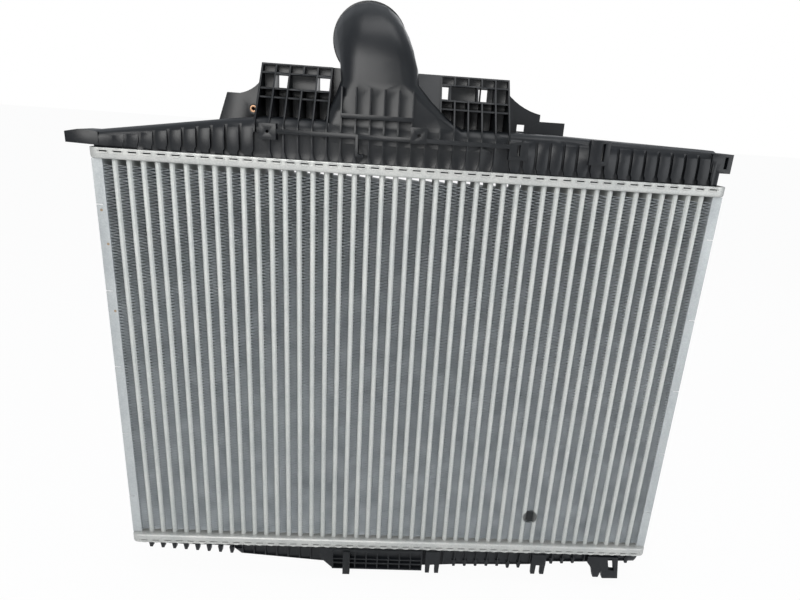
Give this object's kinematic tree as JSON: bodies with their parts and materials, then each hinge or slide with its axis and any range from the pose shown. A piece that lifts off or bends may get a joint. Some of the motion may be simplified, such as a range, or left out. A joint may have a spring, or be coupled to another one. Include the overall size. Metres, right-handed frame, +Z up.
{
  "type": "intercooler",
  "caption": "Upright flat-tube charge-air cooler: finned aluminium core, slit header pans and black ribbed tanks with an elbow inlet, bracket grids and a rear outlet.",
  "frame": {"origin": "on the underside of the bottom tank's ribbed pad, in the middle plane of the core in width and in depth", "axes": "+X to the viewer's right along the row of tubes, +Y from the pictured front to the back, the way both ports point, +Z up along the tubes"},
  "size_m": [0.917, 0.142, 0.919],
  "materials": {
    "tube_aluminium": "satin",
    "fin_aluminium": "satin",
    "plate_aluminium": "satin",
    "header_aluminium": "satin",
    "seal_rubber": "matt",
    "black_plastic": "satin",
    "brass": "satin"
  },
  "bodies": {
    "root": {"tube_01": "tube_aluminium", "tube_02": "tube_aluminium", "tube_03": "tube_aluminium", "tube_04": "tube_aluminium", "tube_05": "tube_aluminium", "tube_06": "tube_aluminium", "tube_07": "tube_aluminium", "tube_08": "tube_aluminium", "tube_09": "tube_aluminium", "tube_10": "tube_aluminium", "tube_11": "tube_aluminium", "tube_12": "tube_aluminium", "tube_13": "tube_aluminium", "tube_14": "tube_aluminium", "tube_15": "tube_aluminium", "tube_16": "tube_aluminium", "tube_17": "tube_aluminium", "tube_18": "tube_aluminium", "tube_19": "tube_aluminium", "tube_20": "tube_aluminium", "tube_21": "tube_aluminium", "tube_22": "tube_aluminium", "tube_23": "tube_aluminium", "tube_24": "tube_aluminium", "tube_25": "tube_aluminium", "tube_26": "tube_aluminium", "tube_27": "tube_aluminium", "tube_28": "tube_aluminium", "tube_29": "tube_aluminium", "tube_30": "tube_aluminium", "tube_31": "tube_aluminium", "tube_32": "tube_aluminium", "tube_33": "tube_aluminium", "tube_34": "tube_aluminium", "tube_35": "tube_aluminium", "tube_36": "tube_aluminium", "tube_37": "tube_aluminium", "tube_38": "tube_aluminium", "tube_39": "tube_aluminium", "tube_40": "tube_aluminium", "tube_41": "tube_aluminium", "tube_42": "tube_aluminium", "tube_43": "tube_aluminium", "tube_44": "tube_aluminium", "fins": "fin_aluminium", "side_plate_left": "plate_aluminium", "side_plate_right": "plate_aluminium", "header_top": "header_aluminium", "header_bottom": "header_aluminium", "gasket_top": "seal_rubber", "gasket_bottom": "seal_rubber", "tank_top": "black_plastic", "tank_bottom": "black_plastic", "brass_insert": "brass"}
  },
  "joints": []
}
